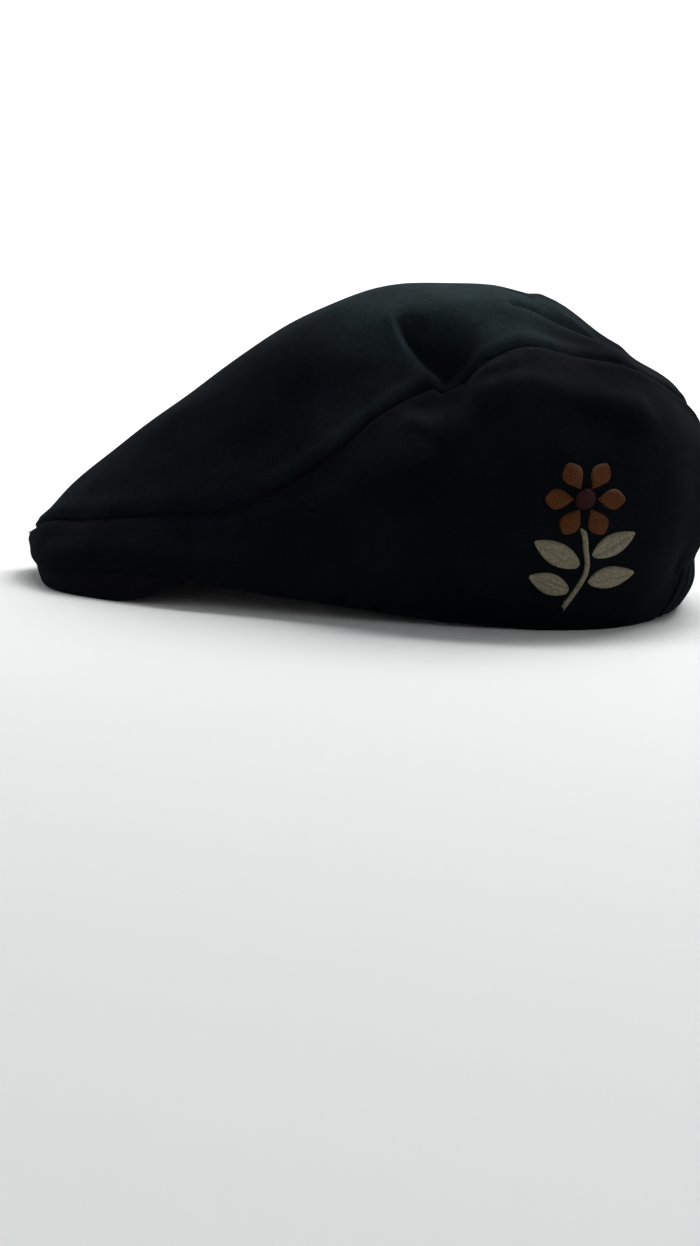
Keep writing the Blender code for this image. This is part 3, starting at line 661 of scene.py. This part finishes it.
places = np.linspace(LAST, LAST - BAND_SEARCH, BAND_TRIES)
BAND_END = float(np.interp(BAND_SPAN / 2, edge_point(places)[:, 0], places))
# Painted shade: the side panels' copy of the same cloth is a little darker than the top panel's.
side_cloth = napped_cloth("side_cloth", SIDE_COLOUR, SIDE_PAINTED_LIT_AND_PALE, SIDE_SHEEN)
heights = np.linspace(*BACK_STRIP_HEIGHTS)[:, None]
face, facing = crown(LAST - np.linspace(*BACK_STRIP_SIDES), heights)
half_strip = np.stack([face - ALLOWANCE_TOP * facing, face - ALLOWANCE_UNDER * facing])
mirror_strip = half_strip[:, :, ::-1] * (-1, 1, 1)
back_allowance = np.concatenate([half_strip[0], mirror_strip[0], mirror_strip[1, :, ::-1],
                                 half_strip[1, :, ::-1]], axis=1)
for side, name in ((1, "left"), (-1, "right")):
    along = np.linspace(0.0, LAST, SIDE_ROWS)
    ramp = np.clip((along - BAND_END + BAND_SLANT) / (2 * BAND_SLANT), 0.0, 1.0)
    lower = (ramp * climb(along, BAND_HEIGHT + SEAM_GAP))[:, None]
    up = lower + (1.0 - lower) * np.linspace(0.0, 1.0, SIDE_COLUMNS) ** SIDE_CROWDING
    outer, normal = crown(along[:, None], up if side > 0 else 4.0 - up)
    # Painted light: higher up the side and just under the seam, the cloth is drawn paler where the
    # light falls on it.
    painted_light_and_paling = painted_light_by_height(outer, SIDE_PAINTED_LIGHT_HEIGHTS) + ridges(SIDE_PAINTED_LIGHT, outer)
    run = run_between(outer)
    paler_hem = HEM_PALING * smooth_step(along - HEM_PALING_START)[:, None]
    painted_light_and_paling = painted_light_and_paling + paler_hem * np.exp(-(run / HEM_PALING_REACH) ** 2)
    hem = 1.0 - smooth_step((run - HEM_FULL) / HEM_THINNING)
    into = unit((1.0 - hem)[..., None] * -normal
                + hem[..., None] * (-outward(along) * (side, 1, 1))[:, None])
    inner = outer + into * (CLOTH + (HEM_FOLD - CLOTH) * hem)[..., None]
    from_seam = np.minimum(run[:, -1:] - run, np.abs(outer[..., 0]) + BACK_SEAM_OPEN)
    outer = outer + normal * beside_seam(from_seam, outer)[..., None]
    for grid in (outer, inner):
        grid[:, -1] += SEAM_GAP / 2 * unit(grid[:, -4] - grid[:, -1])
        grid[..., 0] = side * np.maximum(side * grid[..., 0], SEAM_GAP / 2)
        grid[(0, -1), :, 0] = side * SEAM_GAP / 2
    first, last = outer[:, 0], inner[:, 0]
    below = unit(first - outer[:, 2]) * HEM_FOLD * HEM_ROUND
    turns = np.linspace(0.0, pi, HEM_STEPS)[1:-1, None, None]
    share = (1.0 - np.cos(turns)) / 2
    turned = np.moveaxis(first + share * (last - first) + np.sin(turns) * below, 0, 1)
    turned[..., 0] = side * np.maximum(side * turned[..., 0], SEAM_GAP / 2)
    for grid in (outer, inner, turned):
        grid[..., 2] = np.maximum(grid[..., 2], 0.0)
    panel = sewn_wall(f"side_cloth_{name}", outer, inner, turned, side_cloth, painted_light_and_paling,
                      [back_allowance] if side > 0 else ())
    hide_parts(f"side_panel_{name}")
    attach(panel, "root")


# Peak: a stiff board inside the same cloth, sewn up under the front of the crown. It shows
# as two lobes that curve down at the sides.
PEAK_THICKNESS = 0.0030
PEAK_MARGIN = 0.0060
PEAK_END = 3.86              # section at which each side of the peak ends
PEAK_POINTS = 73
PEAK_ROUNDING = 2            # levels of subdivision
PEAK_COLOUR = (0.0041, 0.0041, 0.0060)
PEAK_SHEEN = 0.010

# Sections of the peak, at the places of the crown's first ones. The margin and the thickness
# are shares of the values above, the drop of the edge's height, and the inner edge is in the
# terms of the crown's sections.
PeakSection = namedtuple("PeakSection", "margin drop inner_x inner_y inner_z thickness")
PEAK_SECTIONS = [
    PeakSection(-0.35, 0.40, 0.000, 0.226, 0.150, 0.90),
    PeakSection(-0.15, 0.66, 0.225, 0.233, 0.146, 1.00),
    PeakSection(0.35, 0.97, 0.435, 0.251, 0.134, 1.00),
    PeakSection(0.70, 0.98, 0.635, 0.282, 0.118, 0.95),
    PeakSection(0.05, 0.20, 0.800, 0.326, 0.092, 0.60),
]

# The lip hangs from the seam and bulges a little. Its lines beside its two edges lie a share
# of its depth from them. It is thinner where it hangs less, and its lines on the underside
# lie at shares of the way from its own edge to the ledge, where the board starts.
LIP_BULGE = 0.12
LIP_ROUND = 0.08
SEAT_ROUND = 0.06
LIP_TAPER = 0.40
LIP_UNDERSIDE = (0.10, 0.45, 0.72, 0.80)
LEDGE = 5

# Lines along the board from its seam inwards: how far in, and how high on its arch.
BOARD_ARCH = 0.15
BoardLine = namedtuple("BoardLine", "depth rise")
BOARD_LINES = [
    BoardLine(0.20, 0.66),
    BoardLine(0.38, 1.00),
    BoardLine(0.54, 0.92),
    BoardLine(0.70, 0.70),
    BoardLine(0.97, 0.06),
    BoardLine(1.00, 0.00),
]
along = np.linspace(-PEAK_END, PEAK_END, PEAK_POINTS)
side, place = np.where(along < 0.0, -1.0, 1.0), np.abs(along)
first = mirrored(PEAK_SECTIONS[1], PeakSection._fields, ("inner_x",))
rows = np.array(PEAK_SECTIONS, float)
p = PeakSection(*np.moveaxis(through(rows, place, first, rows[-1]), -1, 0))
out = outward(place)
edge = edge_point(place)
lip = edge + out * (p.margin * PEAK_MARGIN)[:, None]
lip[:, 2] = edge[:, 2] * (1.0 - p.drop)
seat = edge - np.array([0.0, 0.0, SEAM_GAP])
ledge = seat - out * HEM_FOLD
inside = np.stack([p.inner_x * RIM_WIDTH / 2, (p.inner_y - 0.5) * LENGTH,
                   p.inner_z * CROWN_HEIGHT], -1)
arch = BOARD_ARCH * np.linalg.norm(inside - ledge, axis=-1)[:, None] * np.array([0.0, 0.0, 1.0])
face = 0.5 * (lip + seat) + out * LIP_BULGE * np.abs(lip - seat)[:, 2:]
lip_lines = [lip, (1.0 - LIP_ROUND) * lip + LIP_ROUND * seat, face,
             SEAT_ROUND * lip + (1.0 - SEAT_ROUND) * seat, seat, ledge]
board_lines = [ledge + b.depth * (inside - ledge) + b.rise * arch for b in BOARD_LINES]
upper = np.stack(lip_lines + board_lines, axis=1)
thick = (p.thickness * PEAK_THICKNESS)[:, None]
hang = np.clip((seat - lip)[:, 2:] / (2.0 * thick), 0.0, 1.0)
under = upper - np.array([0.0, 0.0, 1.0]) * thick[:, None]
under[:, 0] = lip - out * thick * (LIP_TAPER + (1.0 - LIP_TAPER) * hang)
under[:, LEDGE] -= 0.5 * out * thick
for column, share in enumerate(LIP_UNDERSIDE, 1):
    under[:, column] = (1.0 - share) * under[:, 0] + share * under[:, LEDGE]
for grid in (upper, under):
    grid[..., 0] *= side[:, None]
    grid[..., 2] = np.maximum(grid[..., 2], 0.0)
peak_cloth = napped_cloth("peak_cloth", PEAK_COLOUR, PEAK_COLOUR, PEAK_SHEEN)
peak = sewn_wall("covered_peak", upper, under, upper[:, :0], peak_cloth, 0.0)
rounding = peak.modifiers.new("rounding", "SUBSURF")
rounding.levels = rounding.render_levels = PEAK_ROUNDING
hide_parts("peak")
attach(peak, "root")


# Back band: a strip of the cloth gathered over elastic and let into the notch of the hem.
# The gathers stand up as uneven ribs with fine creases between them.
BAND_THICKNESS = 0.0036
BAND_PUFF = 0.0012
BAND_COLUMNS = 420
BAND_ROWS = 26
BAND_GATHERS = 13
BAND_SEED = 11
GATHER_DEPTH = 0.0013
GATHER_AT_EDGES = 0.35       # share of the depth that is left at the band's two edges
GATHER_POWER = 0.75          # below 1 the ribs are wide and the creases between them narrow
UNEVEN_COUNTS = (3, 5, 8, 13)
UNEVENNESS = 1.1
UNEVEN_SPREAD = (0.6, 1.2)
UNEVEN_LEAN = 1.6
UNEVEN_TURN = 6
CREASES = 0.16               # height of the fine creases, as a share of the ribs'
CREASE_TURNS = (2.7, 2.0, 7.3, 4.0)
BAND_COLOUR = (0.0036, 0.0040, 0.0056)
BAND_SHEEN = 0.020
share = np.linspace(-1.0, 1.0, BAND_COLUMNS)
height = np.linspace(0.0, 1.0, BAND_ROWS)
reach = LAST - BAND_END - BAND_SLANT * (2.0 * height - 1.0)
reach *= 1.0 - 2 * SEAM_GAP / (BAND_SPAN / 2)
along = LAST - reach * np.abs(share)[:, None]
top_share = np.stack([climb(along[:, k], BAND_HEIGHT) for k in range(BAND_ROWS)], -1)
point, normal = crown(along, top_share * height)
normal[..., 2] = 0.0
half = -np.where(share < 0.0, -1.0, 1.0)[:, None]
point[..., 0] *= half
normal[..., 0] *= half
normal = unit(normal)
draw = np.random.default_rng(BAND_SEED)
phase = 0.5 * pi * BAND_GATHERS * (share + 1.0)[:, None] + 0 * height
for count in UNEVEN_COUNTS:
    amount = UNEVENNESS / count * draw.uniform(*UNEVEN_SPREAD)
    lean = draw.uniform(-UNEVEN_LEAN, UNEVEN_LEAN)
    turn = draw.uniform(0, UNEVEN_TURN)
    phase = phase + amount * np.sin(count * pi * share[:, None] + lean * height + turn)
rib = np.abs(np.sin(phase)) ** GATHER_POWER
by_phase, up_phase, by_share, up_share = CREASE_TURNS
fine = (np.sin(by_phase * phase + up_phase * height)
        * np.sin(by_share * share[:, None] + up_share * height))
swell = np.sin(pi * height)
depth = GATHER_DEPTH * (GATHER_AT_EDGES + (1.0 - GATHER_AT_EDGES) * swell)
relief = BAND_PUFF * swell ** 0.5 + depth * (rib - 1.0 + CREASES * fine)
outer = point + normal * relief[..., None]
inner = point - normal * (BAND_THICKNESS - BAND_PUFF)
for grid in (outer, inner):
    grid[..., 2] = np.maximum(grid[..., 2], 0.0)
band_cloth = napped_cloth("band_cloth", BAND_COLOUR, BAND_COLOUR, BAND_SHEEN)
band = sewn_wall("gathered_band", outer, inner, outer[:, :0], band_cloth, 0.0)
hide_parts("back_band")
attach(band, "root")


# Leaves and petals: four leaves and six petals of a flower, worked on the left side panel in
# satin stitch. Each blade is a flat bed of padding under close-laid threads, and a leaf has
# two halves that meet at its rib.
SPRIG_HEIGHT = 0.054
SPRIG_Y = 0.809              # the sprig's middle, as a share of LENGTH
SPRIG_Z = 0.300              # and of CROWN_HEIGHT
FLOWER_Z = 0.190             # the flower's middle above it, as a share of SPRIG_HEIGHT
FIT_START = (9.0, 0.35)      # along and across, where the search for a place starts
FIT_ROUNDS = 12
PETALS = 6
PETAL_START = 0.072
BED_HEIGHT = 0.00055
BED_BASE = 0.0003
BED_SHARE = 0.44             # half the bed's width, as a share of the blade's width
BED_LINES = (-1.0, -0.5, 0.0, 0.5, 1.0)
BED_ROWS = (0.02, 0.98, 14)  # first and last share of the blade's length, and count
THREAD_LIFT = 0.00075
THREAD_BASE = 0.0002
THREAD_RISE = 0.35           # most that a thread rises, as a share of its length
THREAD_WIDTH = 0.00046
THREAD_FLATNESS = 0.8
THREAD_PITCH = 0.80          # from one thread to the next, in thread widths
THREAD_SIDES = 6
THREAD_STEPS = 8
THREAD_CREASE = 65
THREADS_FROM = 0.03
THREADS_TO = 0.97
BLADE_TIP = 0.985
BLADE_FULLNESS = 0.8         # power below 1, so that a blade is full towards its ends
LEAF_RIB = 0.006             # half the width left free along a leaf's rib
THREAD_CREAM = (0.18, 0.163, 0.112)
THREAD_RUST = (0.080, 0.025, 0.005)
THREAD_ROUGHNESS = 0.48
THREAD_GLOSS = 0.10
STRAND_GRAIN = 1300.0
STRAND_DETAIL = 3.0
DARK_STRANDS = (0.32, 0.55)  # place on the grain, and share of the colour
LIGHT_STRANDS = (0.66, 1.15)
TWIST_STRENGTH = 0.35
TWIST_HEIGHT = 0.00008

# The blades, in shares of SPRIG_HEIGHT: where each starts, which way it points in degrees,
# its size, a power that moves its widest place along it, its threads' slant in degrees, and
# its halves.
Blade = namedtuple("Blade", "node y z angle length width shape slant halves")
BLADES = [
    Blade("leaf_low_front", -0.068, -0.388, 161, 0.27, 0.135, 0.9, 42, 2),
    Blade("leaf_low_back", 0.045, -0.335, 12, 0.30, 0.140, 0.9, 42, 2),
    Blade("leaf_mid_front", -0.010, -0.228, 152, 0.33, 0.145, 0.9, 42, 2),
    Blade("leaf_mid_back", 0.062, -0.165, 30, 0.30, 0.135, 0.9, 42, 2),
]
for number in range(PETALS):
    angle = number * 360.0 / PETALS
    BLADES.append(Blade(f"petal_{number + 1}", PETAL_START * np.cos(radians(angle)),
                        FLOWER_Z + PETAL_START * np.sin(radians(angle)),
                        angle, 0.175, 0.125, 1.3, 20, 1))


def on_cloth(flat, lift):
    """Points of the left side panel's face, from how far back and up they lie on the sprig."""
    y = (SPRIG_Y - 0.5) * LENGTH + flat[..., 0] * SPRIG_HEIGHT
    z = SPRIG_Z * CROWN_HEIGHT + flat[..., 1] * SPRIG_HEIGHT
    along, across = (np.full(y.shape, start) for start in FIT_START)
    step = 1e-3
    for _ in range(FIT_ROUNDS):
        here = crown_base(along, across)
        by_along = (crown_base(along + step, across) - here) / step
        by_across = (crown_base(along, across + step) - here) / step
        miss_y, miss_z = y - here[..., 1], z - here[..., 2]
        det = by_along[..., 1] * by_across[..., 2] - by_across[..., 1] * by_along[..., 2]
        along = along + (miss_y * by_across[..., 2] - miss_z * by_across[..., 1]) / det
        across = across + (miss_z * by_along[..., 1] - miss_y * by_along[..., 2]) / det
        along, across = np.clip(along, 1.0, LAST - 1.0), np.clip(across, step, 1.0 - step)
    point, normal = crown(along, across)
    return point + normal * lift[..., None], normal


def thread_material(name, colour):
    """Twisted embroidery thread, whose shade changes a little from strand to strand."""
    thread = bpy.data.materials.new(name)
    thread.use_nodes = True
    nodes, links = thread.node_tree.nodes, thread.node_tree.links
    shader = nodes["Principled BSDF"]
    shader.inputs["Roughness"].default_value = THREAD_ROUGHNESS
    shader.inputs["Specular IOR Level"].default_value = THREAD_GLOSS
    place = nodes.new("ShaderNodeTexCoord")
    strands = nodes.new("ShaderNodeTexNoise")
    strands.inputs["Scale"].default_value = STRAND_GRAIN
    strands.inputs["Detail"].default_value = STRAND_DETAIL
    links.new(place.outputs["Object"], strands.inputs["Vector"])
    shade = nodes.new("ShaderNodeValToRGB")
    for stop, (position, share) in zip(shade.color_ramp.elements, (DARK_STRANDS, LIGHT_STRANDS)):
        stop.position = position
        stop.color = (*(share * c for c in colour), 1.0)
    links.new(strands.outputs["Fac"], shade.inputs["Fac"])
    links.new(shade.outputs["Color"], shader.inputs["Base Color"])
    twist = nodes.new("ShaderNodeBump")
    twist.inputs["Strength"].default_value = TWIST_STRENGTH
    twist.inputs["Distance"].default_value = TWIST_HEIGHT
    links.new(strands.outputs["Fac"], twist.inputs["Height"])
    links.new(twist.outputs["Normal"], shader.inputs["Normal"])
    return thread


def padding(bed):
    """Points and faces of a flat closed bed, given as rows of places on the sprig."""
    points, faces = [], []
    rows, columns = bed.shape[:2]
    for lift in (BED_HEIGHT, BED_BASE):
        points += on_cloth(bed, np.full((rows, columns), lift))[0].reshape(-1, 3).tolist()
    half = rows * columns
    for row in range(rows - 1):
        for k in range(columns - 1):
            a = row * columns + k
            faces += [(a, a + 1, a + columns + 1, a + columns),
                      (half + a, half + a + columns, half + a + columns + 1, half + a + 1)]
    rim = list(range(columns))
    rim += [row * columns + columns - 1 for row in range(1, rows)]
    rim += [half - 1 - k for k in range(1, columns)]
    rim += [row * columns for row in range(rows - 2, 0, -1)]
    faces += [(a, half + a, half + b, b) for a, b in zip(rim, rim[1:] + rim[:1])]
    return points, faces


def stitched(name, node, bed, threads, finish):
    """One blade of embroidery: its bed of padding and its threads, as one piece."""
    points, faces = padding(bed)
    starts, ends = (np.array(tips)[:, None] for tips in zip(*threads))
    arcs = np.linspace(0.0, 1.0, THREAD_STEPS)
    flat = starts + arcs[:, None] * (ends - starts)
    length = np.linalg.norm(ends - starts, axis=-1) * SPRIG_HEIGHT
    rise = np.minimum(THREAD_LIFT, THREAD_RISE * length) * np.sin(pi * arcs) ** 0.5
    spine, normal = on_cloth(flat, THREAD_BASE + rise)
    run = unit(np.gradient(spine, axis=1))
    across = unit(np.cross(run, normal))
    turns = np.linspace(0.0, 2 * pi, THREAD_SIDES, endpoint=False)[:, None]
    rings = spine[:, :, None] + THREAD_WIDTH / 2 * (
        np.cos(turns) * across[:, :, None] + THREAD_FLATNESS * np.sin(turns) * normal[:, :, None])
    corner = len(points) + np.arange(rings[..., 0].size).reshape(rings.shape[:3])
    points += rings.reshape(-1, 3).tolist()
    after = np.roll(corner, -1, axis=2)
    walls = np.stack([corner[:, :-1], after[:, :-1], after[:, 1:], corner[:, 1:]], -1)
    faces += [tuple(face) for face in walls.reshape(-1, 4).tolist()]
    faces += [tuple(face) for face in corner[:, 0, ::-1].tolist() + corner[:, -1].tolist()]
    made = made_piece(name, points, faces, finish, THREAD_CREASE)
    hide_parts(node)
    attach(made, "root")


def blade_width(blade, share):
    """Width of a blade at a share of its length."""
    swell = np.maximum(np.sin(pi * np.clip(share, 0.0, 1.0) ** blade.shape), 0.0)
    return blade.width * swell ** BLADE_FULLNESS


def blade_place(blade, share, beside):
    """Place on the sprig at a share of the blade's length, and so far beside its rib."""
    heading = np.array([np.cos(radians(blade.angle)), np.sin(radians(blade.angle))])
    across = np.array([-heading[1], heading[0]])
    return np.array([blade.y, blade.z]) + share * blade.length * heading + beside * across


cream = thread_material("cream_thread", THREAD_CREAM)
rust = thread_material("rust_thread", THREAD_RUST)
for blade in BLADES:
    bed = np.array([[blade_place(blade, share, side * BED_SHARE * blade_width(blade, share))
                     for side in BED_LINES] for share in np.linspace(*BED_ROWS)])
    pitch = THREAD_PITCH * THREAD_WIDTH / SPRIG_HEIGHT / blade.length
    lean = np.tan(radians(blade.slant))
    threads = []
    for share in np.arange(THREADS_FROM, THREADS_TO, pitch):
        if blade.halves == 1:
            shift = 0.25 * blade_width(blade, share) * lean / blade.length
            low, high = share - shift, share + shift
            threads.append((blade_place(blade, low, -0.5 * blade_width(blade, low)),
                            blade_place(blade, high, 0.5 * blade_width(blade, high))))
            continue
        end = share + 0.5 * blade_width(blade, share) * lean / blade.length
        end = share + 0.5 * blade_width(blade, end) * lean / blade.length
        if end > BLADE_TIP:
            continue
        for side in (-1.0, 1.0):
            threads.append((blade_place(blade, share, side * LEAF_RIB),
                            blade_place(blade, end, side * 0.5 * blade_width(blade, end))))
    leaf = blade.node.startswith("leaf")
    stitched(f"stitched_{blade.node}", blade.node, bed, threads, cream if leaf else rust)


# Stem: one bent line of satin stitch from below the leaves up to the flower, of the leaves'
# cream thread. Its threads cross it at a slant.
STEM_LINE = np.array([(-0.10, -0.50), (0.03, -0.28), (0.02, -0.10), (0.00, -0.005)])
STEM_WIDTH = 0.030
STEM_SLANT = 0.022
STEM_BED = 0.42
STEM_BED_ROWS = 30
STEM_THREADS = (0.06, 2.97, 66)      # first and last place on the line, and count


def stem_at(places):
    """Points of the stem's line, and the directions along it and beside it."""
    line = through(STEM_LINE, places, STEM_LINE[0], STEM_LINE[-1])
    run = unit(np.gradient(line, axis=0))
    return line, run, np.stack([-run[:, 1], run[:, 0]], -1)


line, _, beside = stem_at(np.linspace(0.0, len(STEM_LINE) - 1, STEM_BED_ROWS))
edges = STEM_WIDTH * STEM_BED * np.array([-1.0, 0.0, 1.0])
bed = line[:, None] + beside[:, None] * edges[None, :, None]
threads = [(q - 0.5 * STEM_WIDTH * s - STEM_SLANT * r, q + 0.5 * STEM_WIDTH * s + STEM_SLANT * r)
           for q, r, s in zip(*stem_at(np.linspace(*STEM_THREADS)))]
stitched("stitched_stem", "sprig_stem", bed, threads, cream)


# Flower's heart: a small round of almost level satin stitches in wine thread, over padding,
# in the middle of the petals.
HEART = 0.060
HEART_BED = (0.90, 0.95)     # the padding's half width and half height, in shares of HEART
HEART_BED_END = 0.06
HEART_BED_ROWS = 11
HEART_THREADS = (-0.93, 0.94)
HEART_TILT = 0.004
THREAD_WINE = (0.030, 0.0062, 0.0055)
wine = thread_material("wine_thread", THREAD_WINE)
bed = np.array([[(side * HEART_BED[0] * HEART * max(np.cos(turn), HEART_BED_END),
                  FLOWER_Z + HEART_BED[1] * HEART * np.sin(turn)) for side in BED_LINES]
                for turn in np.linspace(-pi / 2, pi / 2, HEART_BED_ROWS)])
threads = []
for height in np.arange(*HEART_THREADS, THREAD_PITCH * THREAD_WIDTH / SPRIG_HEIGHT / HEART):
    width, middle = HEART * (1.0 - height ** 2) ** 0.5, FLOWER_Z + HEART * height
    threads.append(((-width, middle - HEART_TILT), (width, middle + HEART_TILT)))
stitched("stitched_heart", "flower_heart", bed, threads, wine)
